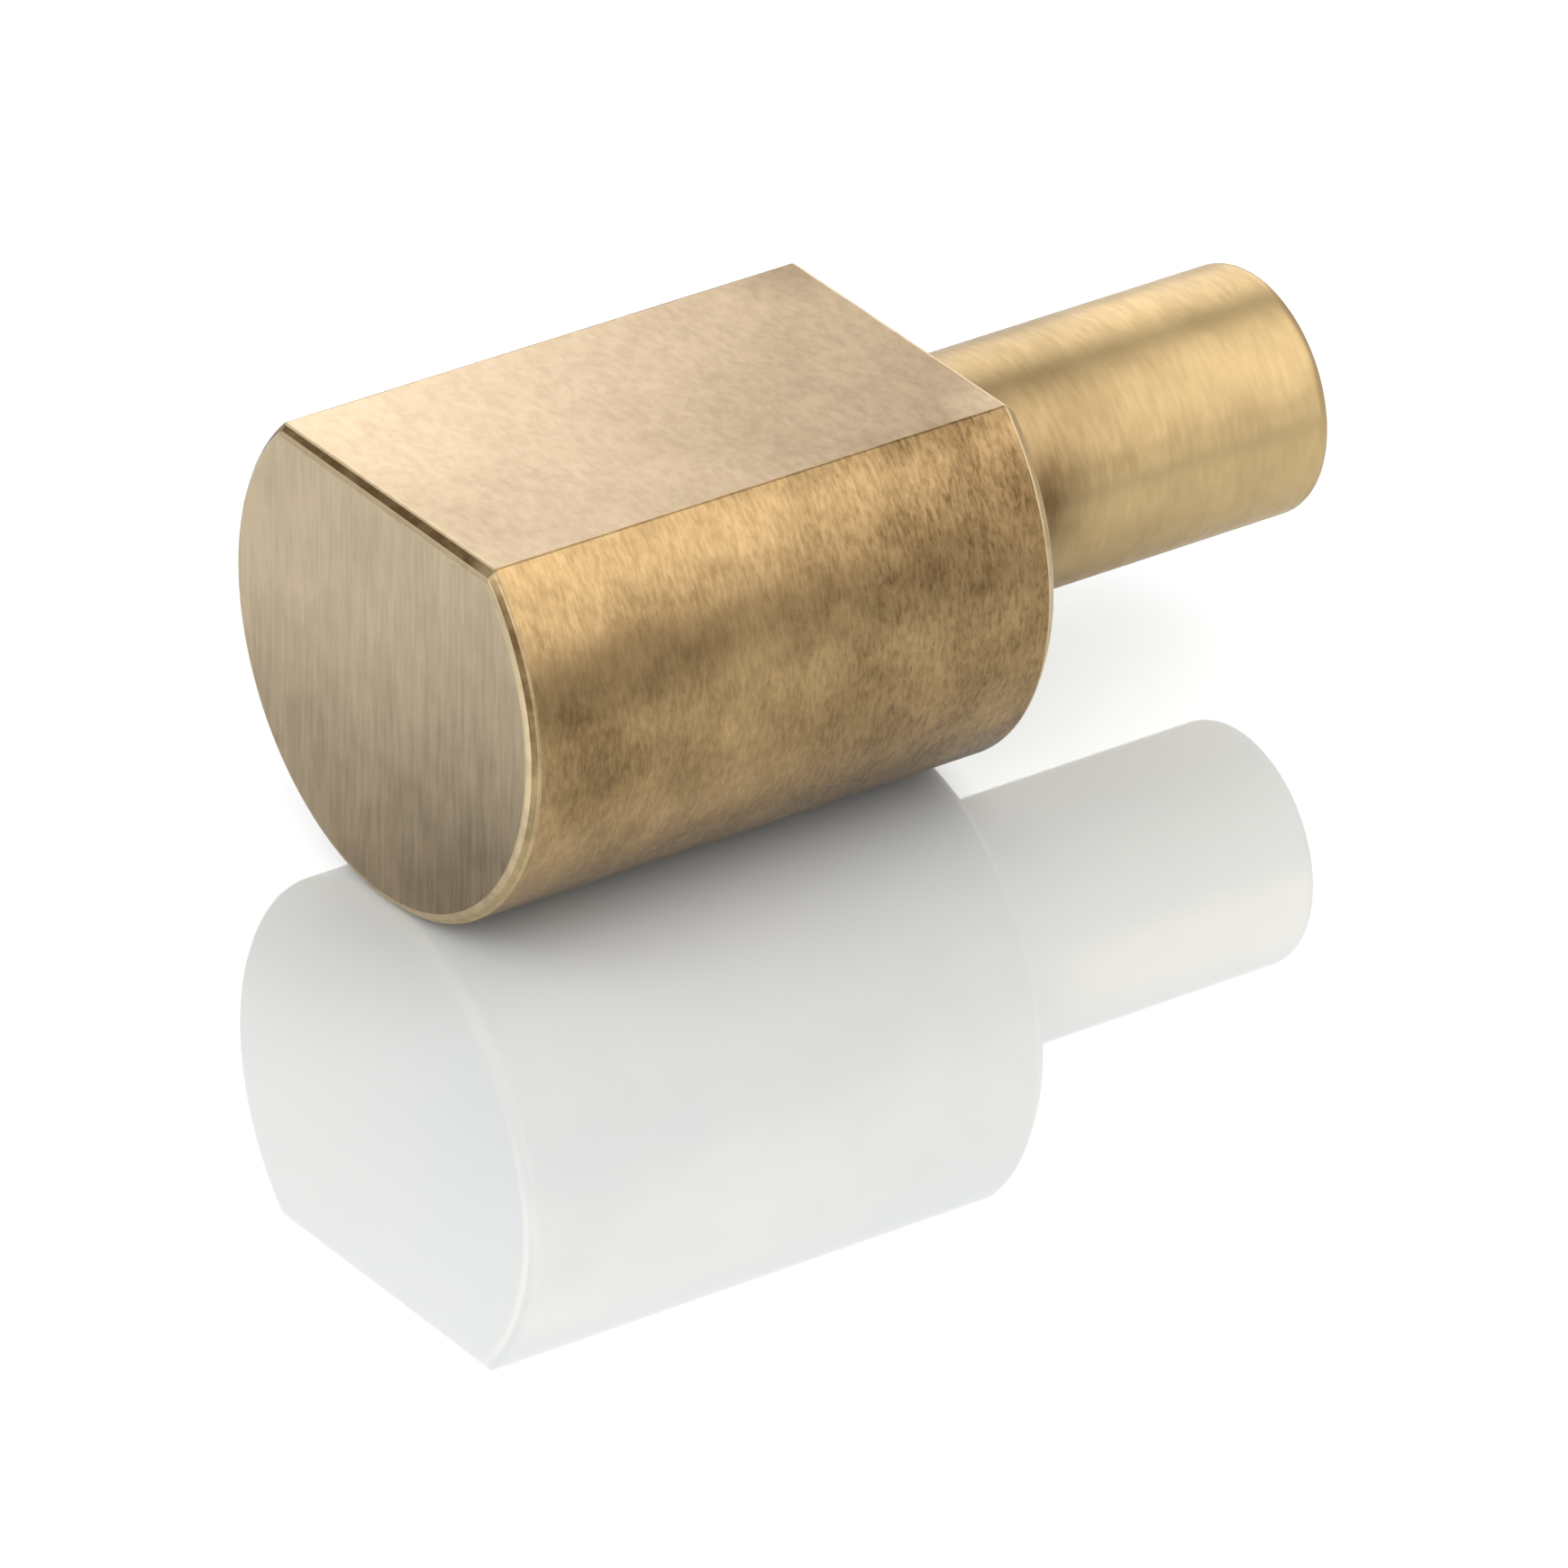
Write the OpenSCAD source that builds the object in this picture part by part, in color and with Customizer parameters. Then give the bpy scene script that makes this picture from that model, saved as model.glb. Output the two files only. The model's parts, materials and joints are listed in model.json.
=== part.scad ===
// Shelf support pin, turned from one brass bar, with a flat milled along the top of its head.
//
// The pin's axis is the Y axis. The origin is where that axis meets the shoulder, so the
// cabinet side's surface is the plane y = 0: the pin runs along +Y into its hole, and the
// head stands out along -Y. The shelf rests on the milled seat, which faces +Z.

/* [Head] */
// Diameter of the round bar that the head keeps
bar_d = 10; // [9:0.5:16]
// Length of the head, from its front face to the shoulder
head_len = 12; // [6:0.5:30]
// Height of the milled seat above the pin's axis
seat_height = 3.6; // [3.2:0.1:4.2]

/* [Pin] */
// Diameter of the pin, for a 5 mm shelf hole
pin_d = 5; // [3:0.5:6]
// Length of the pin, from the shoulder to its end
pin_len = 8.2; // [5:0.1:14]

/* [Edges] */
// Bevel round the whole rim of the front face, along the seat too
face_bevel = 0.17; // [0.05:0.01:0.3]
// Bevel round the whole rim of the shoulder, along the seat too
shoulder_bevel = 0.25; // [0.05:0.05:0.4]
// Radius that eases the pin's end into the hole
pin_end_r = 0.3; // [0.1:0.05:1]

/* [Hidden] */
$fn = 128;

bar_r = bar_d / 2;
pin_r = pin_d / 2;
// How far a cutting solid runs past the surface that it cuts
over = 1;

// Half section of the head: x is the radius, y the place along the axis.
module head_section()
    polygon([
        [0, -head_len],
        [bar_r - face_bevel, -head_len],
        [bar_r, -head_len + face_bevel],
        [bar_r, -shoulder_bevel],
        [bar_r - shoulder_bevel, 0],
        [0, 0]
    ]);

// Half section of the pin, its end edge rounded. It starts inside the head.
module pin_section() {
    root = -head_len / 2;
    translate([0, root])
        square([pin_r, pin_len - pin_end_r - root]);
    translate([0, root])
        square([pin_r - pin_end_r, pin_len - root]);
    translate([pin_r - pin_end_r, pin_len - pin_end_r])
        circle(pin_end_r);
}

// Turns a half section into a solid, its axis laid along Y.
module turned()
    rotate([-90, 0, 0])
        rotate_extrude()
            children();

// What the cutter takes off the top of the head to leave the seat.
module seat_cut()
    translate([-bar_r - over, -head_len - over, seat_height])
        cube([bar_d + 2 * over, head_len + 2 * over, bar_r - seat_height + over]);

// What a bevel takes off one end of the seat, at y = end_y; into is +1 or -1, the way along
// Y from that end into the head. It meets the turned bevel of the round rim at the head's
// two corners there, so both ends of the head are edged all the way round.
module seat_end_cut(end_y, into, bevel)
    translate([bar_r + over, end_y, seat_height])
        rotate([0, -90, 0])
            linear_extrude(bar_d + 2 * over)
                polygon([
                    [-bevel - over, -into * over],
                    [over, -into * over],
                    [over, into * (bevel + over)]
                ]);

module head()
    difference() {
        turned() head_section();
        seat_cut();
        seat_end_cut(-head_len, 1, face_bevel);
        seat_end_cut(0, -1, shoulder_bevel);
    }

module shelf_pin()
    color([0.70, 0.56, 0.36])
        union() {
            head();
            turned() pin_section();
        }

shelf_pin();
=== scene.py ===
import json
from math import cos, hypot, pi, radians, sin, tan

import bpy
from mathutils import Matrix, Vector


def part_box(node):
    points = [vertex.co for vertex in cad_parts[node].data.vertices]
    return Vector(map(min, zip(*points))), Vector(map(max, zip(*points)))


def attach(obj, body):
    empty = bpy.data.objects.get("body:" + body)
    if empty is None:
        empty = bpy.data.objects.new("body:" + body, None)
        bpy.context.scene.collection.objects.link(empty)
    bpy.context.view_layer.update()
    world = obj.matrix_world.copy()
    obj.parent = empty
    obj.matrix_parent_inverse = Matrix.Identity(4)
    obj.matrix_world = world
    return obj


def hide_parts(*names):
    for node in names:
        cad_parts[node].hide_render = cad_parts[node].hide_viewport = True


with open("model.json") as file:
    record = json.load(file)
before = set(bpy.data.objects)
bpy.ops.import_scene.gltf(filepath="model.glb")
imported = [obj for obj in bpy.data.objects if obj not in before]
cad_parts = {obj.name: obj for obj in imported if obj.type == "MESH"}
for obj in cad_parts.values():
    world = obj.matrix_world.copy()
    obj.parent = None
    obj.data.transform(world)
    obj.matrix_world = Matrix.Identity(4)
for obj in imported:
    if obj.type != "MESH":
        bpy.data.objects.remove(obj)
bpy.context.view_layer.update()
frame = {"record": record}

# ------------------------------------------------------------------------------------------
# The support is one piece of round brass bar. Its head keeps the bar's full width, and both
# of the head's rims are broken on the lathe.
# It is modelled in millimetres, and brought to metres once its shape is done.
MM = 0.001
low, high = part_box("shelf_pin")
mounts = {mount["name"]: mount for mount in frame["record"]["mounts"]}

bar_r = round(high.x / MM, 2)
front_y = round(low.y / MM, 2)
pin_r = mounts["pin"]["dims"]["r_mm"]
face_bevel = 0.17
shoulder_bevel = 0.25
# The face's own edge is rubbed round in two shallow steps, each this wide.
face_step = 0.065
face_slopes = (radians(30), radians(15))
face_depths = [face_step * tan(slope) for slope in face_slopes]
blank_front_y = front_y + sum(face_depths)
# With this many sides, a corner of the turned shape falls on the edge of the seat.
turned_sides = 172
# Places this near are one place, and a face this square to an axis looks straight along it.
close = 0.002
squarely = 0.99


def select_faces(piece, wanted):
    """Selects the faces whose centre and normal pass the test, and nothing else."""
    bpy.ops.object.mode_set(mode="OBJECT")
    for vertex in piece.data.vertices:
        vertex.select = False
    for edge in piece.data.edges:
        edge.select = False
    for face in piece.data.polygons:
        face.select = wanted(face.center, face.normal)
    bpy.ops.object.mode_set(mode="EDIT")
    bpy.ops.mesh.select_mode(type="FACE")


def select_rim(piece, radius, y):
    """Selects the circle of edges that has that radius, at that place along the axis."""
    bpy.ops.object.mode_set(mode="OBJECT")
    on_rim = [
        abs(hypot(vertex.co.x, vertex.co.z) - radius) < close and abs(vertex.co.y - y) < close
        for vertex in piece.data.vertices
    ]
    for face in piece.data.polygons:
        face.select = False
    for vertex in piece.data.vertices:
        vertex.select = on_rim[vertex.index]
    for edge in piece.data.edges:
        edge.select = all(on_rim[end] for end in edge.vertices)
    bpy.ops.object.mode_set(mode="EDIT")
    bpy.ops.mesh.select_mode(type="EDGE")


bpy.ops.object.select_all(action="DESELECT")
bpy.ops.mesh.primitive_cylinder_add(
    vertices=turned_sides,
    radius=bar_r,
    depth=-blank_front_y,
    location=(0, blank_front_y / 2, 0),
    rotation=(-pi / 2, 0, 0),
)
support = bpy.context.object
support.name = "brass_shelf_pin"
support.data.name = support.name
bpy.ops.object.transform_apply(location=True, rotation=True, scale=True)

select_faces(support, lambda centre, normal: normal.y > squarely)
bpy.ops.mesh.inset(thickness=bar_r - pin_r)
select_rim(support, bar_r, blank_front_y)
bpy.ops.mesh.bevel(offset=face_bevel - sum(face_depths), segments=1, affect="EDGES")
select_rim(support, bar_r, 0)
bpy.ops.mesh.bevel(offset=shoulder_bevel, segments=1, affect="EDGES")

# ------------------------------------------------------------------------------------------
# The seat is milled along the top of the head, and its two ends are bevelled to meet the
# turned rims. The front one is done by hand, so it grows wider to the right.
# The scraps of edge that cutting leaves are merged.
seat_z = round(high.z / MM, 2)
seat_half_w = (bar_r**2 - seat_z**2) ** 0.5
seat_bevel_left = 0.17
seat_bevel_right = 0.21
scrap = 0.035


def cut_off(spot, outward):
    """Cuts away all that lies beyond a plane through that spot, and closes the cut."""
    bpy.ops.mesh.select_all(action="SELECT")
    bpy.ops.mesh.bisect(
        plane_co=spot,
        plane_no=Vector(outward).normalized(),
        use_fill=True,
        clear_outer=True,
        threshold=close,
    )


left_end = Vector((-seat_half_w, front_y + seat_bevel_left, seat_z))
right_end = Vector((seat_half_w, front_y + seat_bevel_right, seat_z))
down_the_bevel = Vector((0, -1, -1))
cut_off((0, 0, seat_z), (0, 0, 1))
cut_off(left_end, down_the_bevel.cross(right_end - left_end))
cut_off((0, -shoulder_bevel, seat_z), (0, 1, 1))
bpy.ops.mesh.select_all(action="SELECT")
bpy.ops.mesh.remove_doubles(threshold=scrap)
bpy.ops.mesh.dissolve_degenerate(threshold=close)
select_faces(support, lambda centre, normal: normal.y < -squarely)
for depth in face_depths:
    bpy.ops.mesh.inset(thickness=face_step, depth=depth)

# ------------------------------------------------------------------------------------------
# The pin is turned down from the same bar to the width of a shelf hole. Its end is rounded,
# so that it finds the hole.
pin_end_y = round(high.y / MM, 2)
pin_end_r = round(pin_end_y - mounts["pin"]["dims"]["length_mm"], 2)
round_steps = 6

select_faces(support, lambda centre, normal: normal.y > squarely and abs(centre.z) < close)
bpy.ops.mesh.extrude_region_move(TRANSFORM_OT_translate={"value": (0, pin_end_y, 0)})
select_rim(support, pin_r, pin_end_y)
bpy.ops.mesh.bevel(offset=pin_end_r, segments=round_steps, affect="EDGES")
bpy.ops.object.mode_set(mode="OBJECT")

# ------------------------------------------------------------------------------------------
# The finish. The whole piece was darkened, and each surface was then brushed back to bright metal
# in its own direction, so a brown patina is left in the scratches and on the bevels. Shade and
# highlights are painted into the colours as well, in each surface's stains below: darker where
# the metal mirrors dim room and shadowed table, paler where it catches a highlight.
face_brass = (0.693, 0.543, 0.366)
seat_brass = (0.66, 0.515, 0.345)
head_brass = (0.62, 0.418, 0.2)
pin_brass = (0.63, 0.455, 0.228)
bevel_brass = (0.60, 0.46, 0.25)
# The shoulder's brass is paler than the head's: a painted highlight along the shoulder's rim.
shoulder_highlight_brass = (0.68, 0.53, 0.32)
rim_brass = (0.62, 0.46, 0.255)
edge_brass = (0.69, 0.55, 0.345)
# The dark colours that the metal is mixed towards: patina, and also painted shade where the
# stains below darken a surface.
tarnish_and_shade = (0.15, 0.088, 0.037)
face_tarnish_and_shade = (0.15, 0.107, 0.062)
# The cells of a noise lie nearly all between these two values.
noise_low = 0.3
noise_high = 0.7


def add_node(tree, kind, values=None, **settings):
    """Adds a node. A value is given to the input of that name, or, if a socket, linked to it."""
    node = tree.nodes.new("ShaderNode" + kind)
    for name, setting in settings.items():
        setattr(node, name, setting)
    for name, value in (values or {}).items():
        if isinstance(value, bpy.types.NodeSocket):
            tree.links.new(value, node.inputs[name])
        else:
            node.inputs[name].default_value = value
    return node


def noise(tree, per_mm, detail, roughness):
    """Cloudy noise with that many cells in a millimetre along X, Y and Z."""
    place = add_node(tree, "TexCoord").outputs["Object"]
    scale = [count / MM for count in per_mm]
    scaled = add_node(tree, "Mapping", {"Vector": place, "Scale": scale}).outputs[0]
    cells = {"Vector": scaled, "Scale": 1.0, "Detail": detail, "Roughness": roughness}
    return add_node(tree, "TexNoise", cells).outputs[0]


def ramp(tree, value, least, most, start, end):
    """Eases from start to end as the value goes from least to most, and is level beyond."""
    reach = {"Value": value, "From Min": least, "From Max": most, "To Min": start, "To Max": end}
    return add_node(tree, "MapRange", reach, interpolation_type="SMOOTHSTEP").outputs[0]


def swing(tree, cells, share):
    """Swings between half of that share less and half of it more, as the noise does."""
    return ramp(tree, cells, noise_low, noise_high, -share / 2, share / 2)


def along(tree, axis, start, end, rise):
    """Rises by that much from the start to the end place along an axis, in millimetres."""
    place = add_node(tree, "TexCoord").outputs["Object"]
    parts = add_node(tree, "SeparateXYZ", {"Vector": place})
    return ramp(tree, parts.outputs[axis], start * MM, end * MM, 0.0, rise)


def patch(tree, centre, reach, rise):
    """A round patch: it is that much at its centre and fades to nothing at its reach."""
    place = add_node(tree, "TexCoord").outputs["Object"]
    spot = [part * MM for part in centre]
    away = add_node(tree, "VectorMath", {0: place, 1: spot}, operation="DISTANCE")
    return ramp(tree, away.outputs["Value"], 0.0, reach * MM, rise, 0.0)


def combine(tree, operation, *values):
    """Works through several values: their sum, their product or the largest of them."""
    total = values[0]
    for value in values[1:]:
        node = add_node(tree, "Math", {0: total, 1: value}, operation=operation)
        total = node.outputs[0]
    return total


def blend(tree, share, first, second):
    """Mixes two colours: none of the second at a share of 0, all of it at 1."""
    colours = {"Fac": share, "Color1": (*first, 1), "Color2": (*second, 1)}
    return add_node(tree, "MixRGB", colours).outputs[0]


def brushed(
    name,
    metal,
    stains_and_painted_light=None,
    level=0.0,
    dark=tarnish_and_shade,
    grain=(3, 3, 3),
    grain_share=0.2,
    clouds=(0.5, 0.5, 0.5),
    cloud_share=0.2,
    depth_um=0.5,
    roughness=0.36,
    spread=(0, 1, 0),
    anisotropy=0.0,
):
    """Brass brushed one way, left tarnished, with painted shade and painted highlights in its
    colour.

    The grain and the clouds are cells in a millimetre along X, Y and Z, and the grain's are long
    along the strokes. Their shares say how much the darkening varies with them, the level is what
    lies all over, and the stains given for a surface add what lies in one place, which is patina
    on some surfaces and painted shade and painted highlights. The scratches are as deep as
    depth_um, in thousandths of a millimetre, and light is drawn out along spread.
    """
    broader = 0.4
    uneven = 0.1
    smoothest_at = 0.2
    roughest_at = 0.8
    material = bpy.data.materials.new(name)
    material.use_nodes = True
    tree = material.node_tree
    tree.nodes.clear()
    scratches = noise(tree, grain, detail=2.0, roughness=0.6)
    strokes = noise(tree, [count * broader for count in grain], detail=1.0, roughness=0.5)
    cloud = noise(tree, clouds, detail=4.0, roughness=0.6)
    amounts = [
        swing(tree, scratches, grain_share),
        swing(tree, strokes, grain_share / 2),
        swing(tree, cloud, cloud_share),
        level,
    ]
    if stains_and_painted_light:
        amounts += stains_and_painted_light(tree)
    colour = blend(tree, combine(tree, "ADD", *amounts), metal, dark)
    rougher = ramp(tree, scratches, smoothest_at, roughest_at, 0.0, uneven)
    roughened = combine(tree, "ADD", roughness - uneven / 2, rougher)
    bump = add_node(tree, "Bump", {"Height": scratches, "Distance": depth_um * MM * MM})
    axis = add_node(tree, "CombineXYZ", dict(zip("XYZ", spread)))
    tangent = add_node(
        tree,
        "VectorTransform",
        {"Vector": axis.outputs[0]},
        vector_type="VECTOR",
        convert_from="OBJECT",
        convert_to="WORLD",
    )
    shader = add_node(
        tree,
        "BsdfPrincipled",
        {
            "Base Color": colour,
            "Metallic": 1.0,
            "Roughness": roughened,
            "Normal": bump.outputs[0],
            "Anisotropic": anisotropy,
            "Tangent": tangent.outputs[0],
        },
    )
    add_node(tree, "OutputMaterial", {"Surface": shader.outputs[0]})
    return material


def face_painted_light_and_shade(tree):
    """The front face is evenly pale at its upper left, and darker towards its foot and its right:
    painted shade, standing in for the shadowed table near its foot that it mirrors. The paler
    upper left is a painted reflection of the lit table.
    """
    browner = combine(
        tree,
        "ADD",
        along(tree, "Z", 4.0, -5.5, 0.65),
        along(tree, "X", -5.0, 5.0, 0.31),
        patch(tree, (3.6, -12.0, -2.6), 4.4, 0.126),
        -0.243,
    )
    return [combine(tree, "MAXIMUM", browner, 0.0), patch(tree, (-5.0, -12.0, 1.5), 3.2, -0.12)]


def seat_stains_and_painted_shade(tree):
    """The seat is browner towards the shoulder, most at its rear left, and to the right: partly
    patina and partly painted shade where the left softbox's reflection in it fades. It is paler
    at its rear right corner, a painted highlight.
    """
    return [
        along(tree, "Y", -12.5, -0.5, 0.42),
        along(tree, "X", -4.5, 3.5, 0.25),
        patch(tree, (-3.2, -0.5, 3.6), 1.8, 0.25),
        patch(tree, (1.3, -11.0, 3.6), 3.0, 0.08),
        patch(tree, (3.3, -0.4, 3.6), 1.5, -0.25),
    ]


def head_stains_and_painted_light(tree):
    """The round of the head has a brown speckled patina towards the shoulder, and is browner
    there overall and along under the seat's edge. A dark band a little below the seat, darker
    patches at its front and a darker underside are painted shade, standing in for the dim room
    and the shadowed table that it mirrors. A paler strip just under the seat and a paler spot at
    the seat's rear corner are painted highlights.
    """
    rearward = along(tree, "Y", -9.0, -2.0, 1.0)
    speckled = ramp(tree, noise(tree, (5, 10, 5), detail=2.0, roughness=0.6), 0.5, 0.7, 0.0, 0.16)
    under_seat = along(tree, "Z", 3.2, 3.58, 0.27)
    # A dark band along the round, a little below the seat: painted shade in place of a dark
    # reflection.
    band = combine(
        tree,
        "MULTIPLY",
        along(tree, "Y", -10.0, -8.5, 0.15),
        along(tree, "Z", 2.9, 2.3, 1.0),
        along(tree, "Z", 0.9, 1.6, 1.0),
    )
    return [
        band,
        combine(tree, "MULTIPLY", speckled, rearward),
        combine(tree, "MULTIPLY", under_seat, rearward),
        along(tree, "Y", -7.0, -0.5, 0.2),
        # A darker underside is painted shade for the shadowed table that it mirrors. A paler
        # strip below the seat's edge is a painted highlight, and a slightly paler lower middle is
        # a painted reflection of the lit table.
        along(tree, "Z", -2.2, -4.4, 0.3),
        along(tree, "Z", 3.4, 2.5, 0.12),
        along(tree, "Z", 1.2, 0.0, -0.06),
        # Patches darken and lighten the round in places. The darker ones at the front deepen the
        # painted shade there, and the last, paler one is a painted highlight at the seat's rear
        # corner.
        patch(tree, (5.0, -11.5, 0.7), 1.8, 0.15),
        patch(tree, (5.0, -10.1, 0.0), 3.2, 0.31),
        patch(tree, (4.6, -6.2, -1.4), 3.6, 0.14),
        patch(tree, (5.0, -4.2, -0.5), 3.6, 0.1),
        patch(tree, (4.6, -2.2, 1.5), 2.2, 0.09),
        patch(tree, (4.6, -1.7, 1.9), 1.4, -0.15),
        patch(tree, (3.8, -1.6, 3.2), 0.9, 0.17),
        patch(tree, (5.0, -1.5, -0.2), 1.4, -0.16),
        patch(tree, (4.8, -1.2, -0.1), 2.2, 0.1),
        patch(tree, (4.0, -0.7, 3.0), 1.0, 0.2),
        patch(tree, (3.5, -0.2, 3.5), 0.9, -0.35),
    ]


def pin_painted_light_and_shade(tree):
    """The pin is darker at its root and in a patch there, painted shade where the head shades it.
    It is darker along its upper half, a painted dark reflection, and its very top is a little
    paler, a painted highlight.
    """
    return [
        along(tree, "Y", 6.0, 0.0, 0.33),
        along(tree, "Z", 0.1, 1.1, 0.15),
        along(tree, "Z", 2.1, 2.4, -0.08),
        patch(tree, (2.5, 1.2, 0.4), 1.9, 0.56),
    ]


def bevel_painted_reflection(tree):
    """The bevel is darker along the seat and paler towards its foot: a painted reflection, dark
    where it mirrors the dim room and pale where it mirrors the lit table. A paler patch at the
    seat's right-hand corner is a painted highlight.
    """
    return [along(tree, "Z", -3.5, 2.0, 0.65), patch(tree, (3.4, -11.9, 3.5), 0.7, -0.5)]


def edge_painted_shade(tree):
    """The edge of the face is darker towards its foot: painted shade, as on the face."""
    return [along(tree, "Z", 1.0, -4.5, 0.3)]


def rim_painted_reflection(tree):
    """The outer edge of the front rim is darker above and bright only towards its foot: a painted
    reflection, standing in for the dim room above and the lit table below that it mirrors.
    """
    return [along(tree, "Z", -2.5, 1.5, 0.35)]


finishes = {
    "face": brushed(
        "brushed_face",
        face_brass,
        face_painted_light_and_shade,
        level=0.1,
        dark=face_tarnish_and_shade,
        grain=(9, 0.9, 0.8),
        grain_share=0.12,
        clouds=(0.8, 0.8, 0.8),
        cloud_share=0.13,
        depth_um=0.35,
        spread=(1, 0, 0),
        anisotropy=0.6,
    ),
    "seat": brushed(
        "brushed_seat",
        seat_brass,
        seat_stains_and_painted_shade,
        level=0.075,
        grain=(3.5, 6, 3.5),
        grain_share=0.035,
        cloud_share=0.08,
        depth_um=0.2,
        roughness=0.38,
        anisotropy=0.4,
    ),
    "head": brushed(
        "brushed_head",
        head_brass,
        head_stains_and_painted_light,
        level=0.3,
        grain=(4, 13, 4),
        grain_share=0.18,
        clouds=(0.8, 0.8, 0.8),
        cloud_share=0.27,
        roughness=0.34,
        anisotropy=0.5,
    ),
    "pin": brushed(
        "brushed_pin",
        pin_brass,
        pin_painted_light_and_shade,
        level=0.05,
        grain=(1.5, 8, 1.5),
        grain_share=0.05,
        depth_um=0.2,
        roughness=0.38,
        anisotropy=0.6,
    ),
    # The front bevel is dark all over, partly patina and partly painted shade.
    "bevel": brushed("bevel_tarnish_and_painted_shade", bevel_brass, bevel_painted_reflection, level=0.22),
    # The shoulder's pale colour is a painted highlight.
    "shoulder": brushed("shoulder_painted_highlight", shoulder_highlight_brass, level=0.05, roughness=0.42),
    "rim": brushed("rubbed_rim", rim_brass, rim_painted_reflection, level=0.05),
    "edge": brushed("rubbed_edge", edge_brass, edge_painted_shade),
}
finish_names = list(finishes)
# A rubbed step of the face still looks this much along the bar, and a bevel this much.
step_facing = 0.8
bevel_facing = 0.3


def finish_of(centre, normal):
    """Which finish a face of the support has, by its place and the way it looks."""
    if centre.y > close:
        return "face" if normal.y > squarely else "pin"
    if abs(normal.y) > squarely:
        return "face"
    if normal.z > squarely:
        return "seat"
    if abs(normal.y) > step_facing:
        return "edge"
    if abs(normal.y) > bevel_facing:
        return "bevel" if centre.y < front_y / 2 else "shoulder"
    return "head"


for finish in finishes.values():
    support.data.materials.append(finish)
for face in support.data.polygons:
    face.material_index = finish_names.index(finish_of(face.center, face.normal))

# ------------------------------------------------------------------------------------------
# Every edge that the tools left is rubbed soft on a fine brush, which brings it up bright.
# The two long edges of the seat keep the tone of the head, and the root of the pin keeps the
# pin's, because the brush doesn't reach into it.
rubbed_w = 0.04
rubbed_steps = 3
slightest_edge = radians(25)
# What lies this near to either end of the seat's width is one of the head's corners.
corner_w = 0.1
# The highest weight there is. With it the large flats shade flat right up to their edges.
flats_weight = 100

soften = support.modifiers.new("rubbed_edges", "BEVEL")
soften.limit_method = "ANGLE"
soften.angle_limit = slightest_edge
soften.width = rubbed_w
soften.segments = rubbed_steps
soften.use_clamp_overlap = False
soften.material = finish_names.index("edge")
bpy.ops.object.modifier_apply(modifier=soften.name)


def rubbed_finish_of(centre):
    """Which finish a rubbed edge has, by the surfaces that meet there."""
    from_axis = hypot(centre.x, centre.z)
    if centre.y > -close and from_axis < pin_r + 2 * rubbed_w:
        return "pin"
    if centre.y > -2 * shoulder_bevel:
        return "shoulder"
    if from_axis > bar_r - 1.5 * rubbed_w and centre.z < seat_z - 2 * rubbed_w:
        return "rim"
    if centre.z > seat_z - rubbed_w and centre.y > front_y + 2 * face_bevel:
        return "head"
    if centre.z > seat_z - face_bevel and abs(centre.x) > seat_half_w - corner_w:
        return "rim"
    return "edge"


for face in support.data.polygons:
    if face.material_index == finish_names.index("edge"):
        face.material_index = finish_names.index(rubbed_finish_of(face.center))
bpy.ops.object.shade_smooth()
true_flats = support.modifiers.new("true_flats", "WEIGHTED_NORMAL")
true_flats.weight = flats_weight
bpy.ops.object.modifier_apply(modifier=true_flats.name)
support.data.transform(Matrix.Scale(MM, 4))

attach(support, "root")
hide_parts("shelf_pin")

# ------------------------------------------------------------------------------------------
# The table is a sheet of white gloss acrylic, in which the support is mirrored. It isn't a
# part of the support, which only stands on it to be shown.
table_w = 3
table_white = (0.655, 0.683, 0.69, 1)
table_roughness = 0.03
table_gloss = 1.9

bpy.ops.mesh.primitive_plane_add(size=table_w, location=(0, 0, low.z))
table = bpy.context.object
table.name = table.data.name = "acrylic_table"
bpy.ops.object.transform_apply(location=True, rotation=True, scale=True)
acrylic = bpy.data.materials.new("white_acrylic")
acrylic.use_nodes = True
sheet = acrylic.node_tree.nodes["Principled BSDF"]
sheet.inputs["Base Color"].default_value = table_white
sheet.inputs["Roughness"].default_value = table_roughness
sheet.inputs["IOR"].default_value = table_gloss
table.data.materials.append(acrylic)

# ------------------------------------------------------------------------------------------
# Soft studio light, from four softboxes round the support and a small card close to the pin.
# Two lamps light only the table: its gloss mirrors a bright core behind the left softbox, which
# keeps it white, and a fill softens the shadow in front of the head.
head_middle = Vector((0, -4, 0)) * MM
pin_middle = Vector((0, 4.5, 0)) * MM
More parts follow.
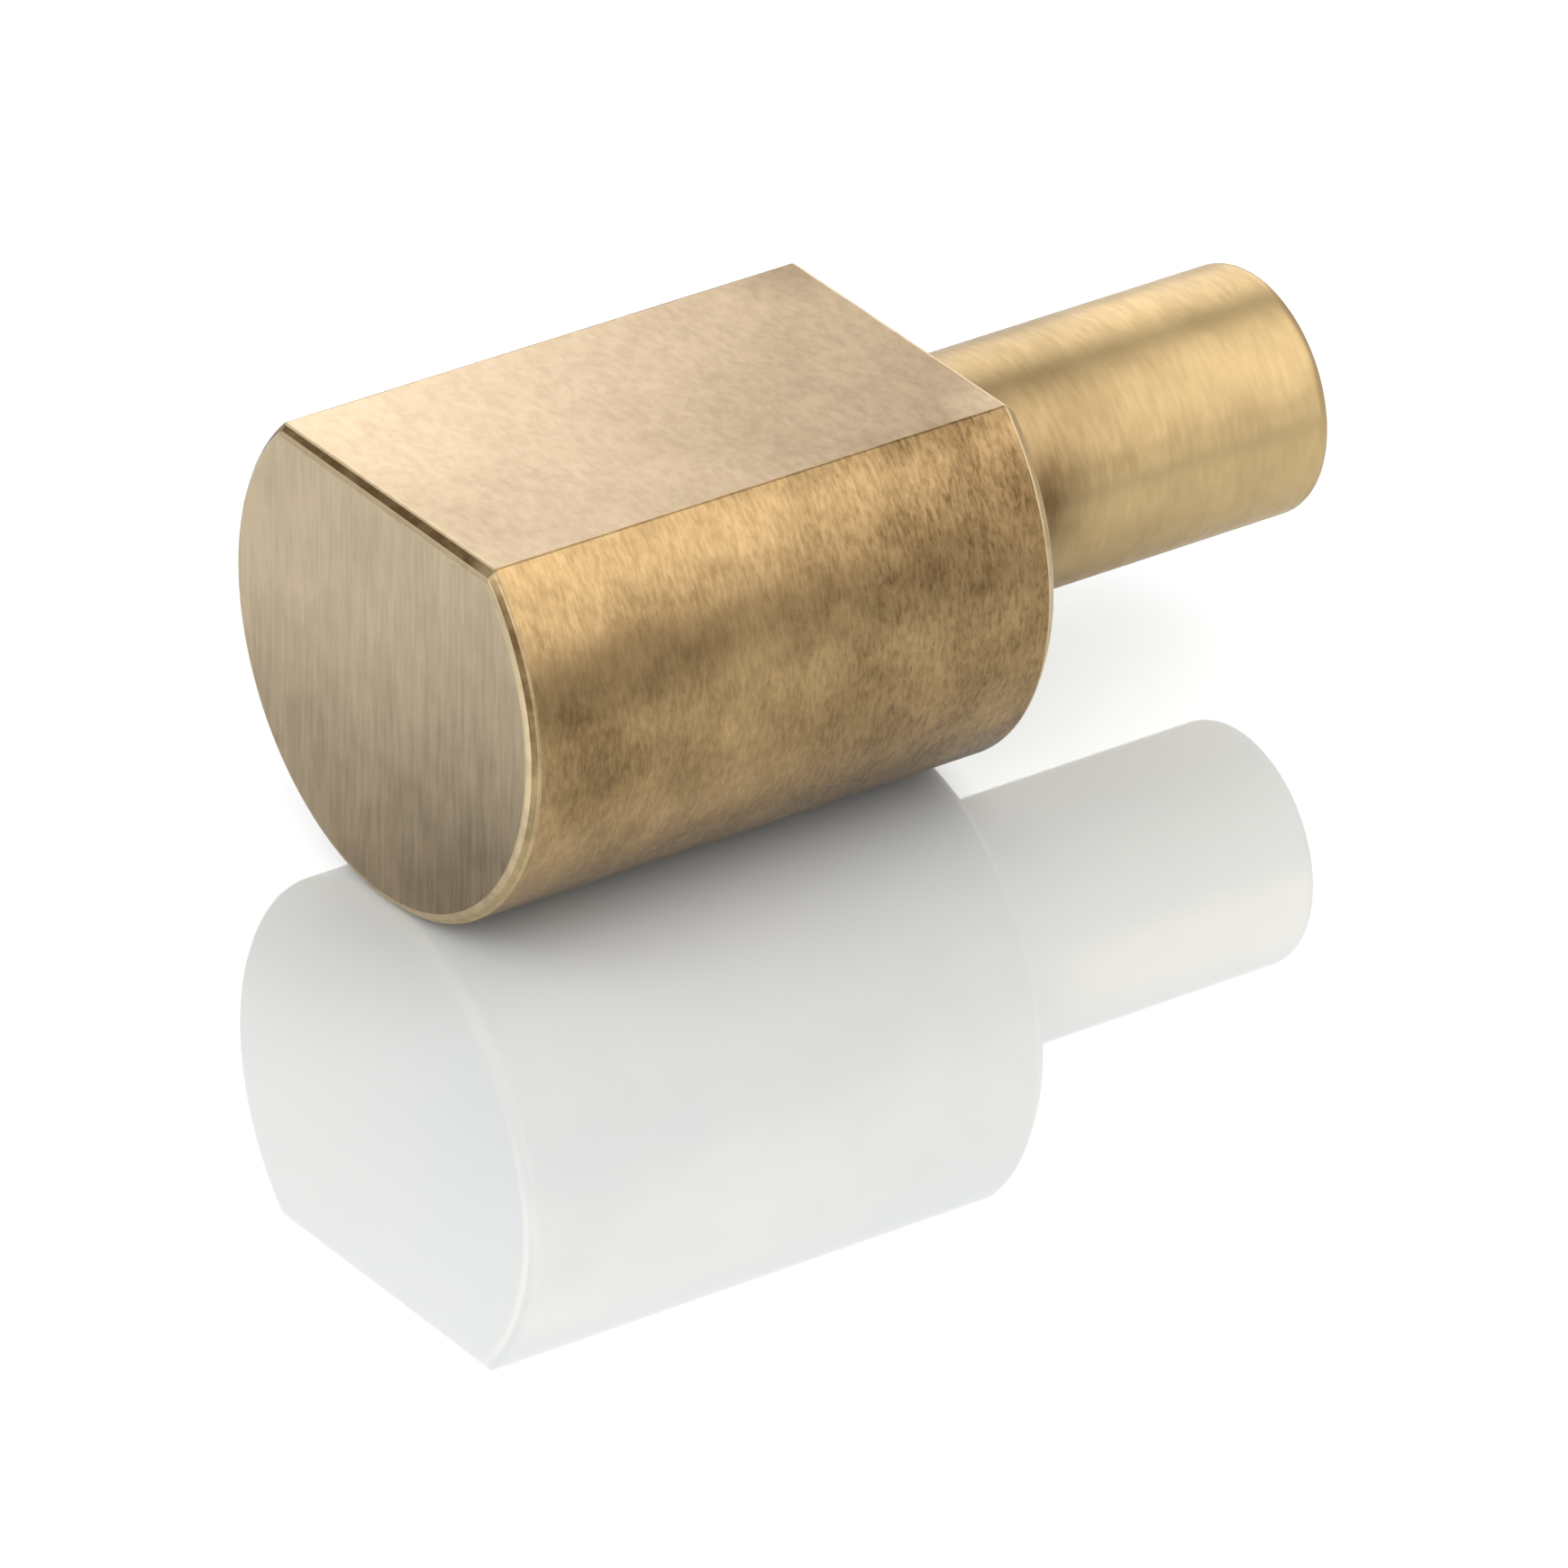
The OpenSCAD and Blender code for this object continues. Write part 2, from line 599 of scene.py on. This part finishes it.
# Each bearing is from +Y towards +X, and it and the rise are in degrees. The distance, the
# width and the height are in metres.
lamps = [
    # name, aim, bearing, rise, distance, width, height, radiance, the only piece that it lights
    ("left_softbox", head_middle, -58, 28, 0.25, 0.22, 0.21, 1.36, None),
    ("left_core", head_middle, -54.6, 29.25, 1.0, 0.16, 0.16, 1.15, table),
    ("right_softbox", head_middle, 45, 47, 0.40, 0.42, 0.50, 1.24, None),
    ("front_softbox", head_middle, 172, 43, 0.40, 0.60, 0.36, 1.25, None),
    ("low_fill", head_middle, 122, 26, 0.45, 0.60, 0.40, 0.75, None),
    ("pin_card", pin_middle, 62.5, 7.4, 0.0274, 0.012, 0.012, 1.05, support),
    ("table_fill", head_middle, 165, 25, 0.40, 0.40, 0.30, 1.2, table),
]


def softbox(name, aim, bearing, rise, distance, width, height, radiance, lights_only):
    """Hangs a softbox that faces its aim. The camera doesn't see it."""
    across = radians(bearing)
    up = radians(rise)
    away = Vector((sin(across) * cos(up), cos(across) * cos(up), sin(up)))
    bpy.ops.object.light_add(
        type="AREA",
        location=aim + away * distance,
        rotation=away.to_track_quat("Z", "Y").to_euler(),
    )
    lamp = bpy.context.object
    lamp.name = lamp.data.name = name
    lamp.data.shape = "RECTANGLE"
    lamp.data.size = width
    lamp.data.size_y = height
    lamp.data.energy = radiance * pi * width * height
    lamp.visible_camera = False
    if lights_only:
        lit = bpy.data.collections.new(name + "_lights")
        lit.objects.link(lights_only)
        lamp.light_linking.receiver_collection = lit


for lamp_sizes in lamps:
    softbox(*lamp_sizes)

# ------------------------------------------------------------------------------------------
# The room round the table is plain white and dim, so that what the softboxes don't reach is
# lit evenly from all sides.
room_light = 0.55

studio = bpy.data.worlds.new("studio")
bpy.context.scene.world = studio
studio.use_nodes = True
air = studio.node_tree
air.nodes.clear()
background = add_node(air, "Background", {"Color": (1, 1, 1, 1), "Strength": room_light})
add_node(air, "OutputWorld", {"Surface": background.outputs[0]})
bpy.context.scene.view_settings.view_transform = "Standard"

# ------------------------------------------------------------------------------------------
# The camera stands a third of a metre off with a long lens, to the front right of the support
# and above it, and is turned very slightly on its own axis.
camera_bearing = radians(54.57)
camera_rise = radians(29.25)
camera_roll = radians(0.79)
camera_offset = Vector((-2.33, -5.41, 332.1)) * MM
sensor_w_mm = 36
lens_mm = 402.8
nearest = 0.01

turn = (
    Matrix.Rotation(camera_bearing, 4, "Z")
    @ Matrix.Rotation(pi / 2 - camera_rise, 4, "X")
    @ Matrix.Rotation(camera_roll, 4, "Z")
)
bpy.ops.object.camera_add()
camera = bpy.context.object
camera.data.sensor_width = sensor_w_mm
camera.data.lens = lens_mm
camera.data.clip_start = nearest
camera.matrix_world = turn @ Matrix.Translation(camera_offset)
bpy.context.scene.camera = camera
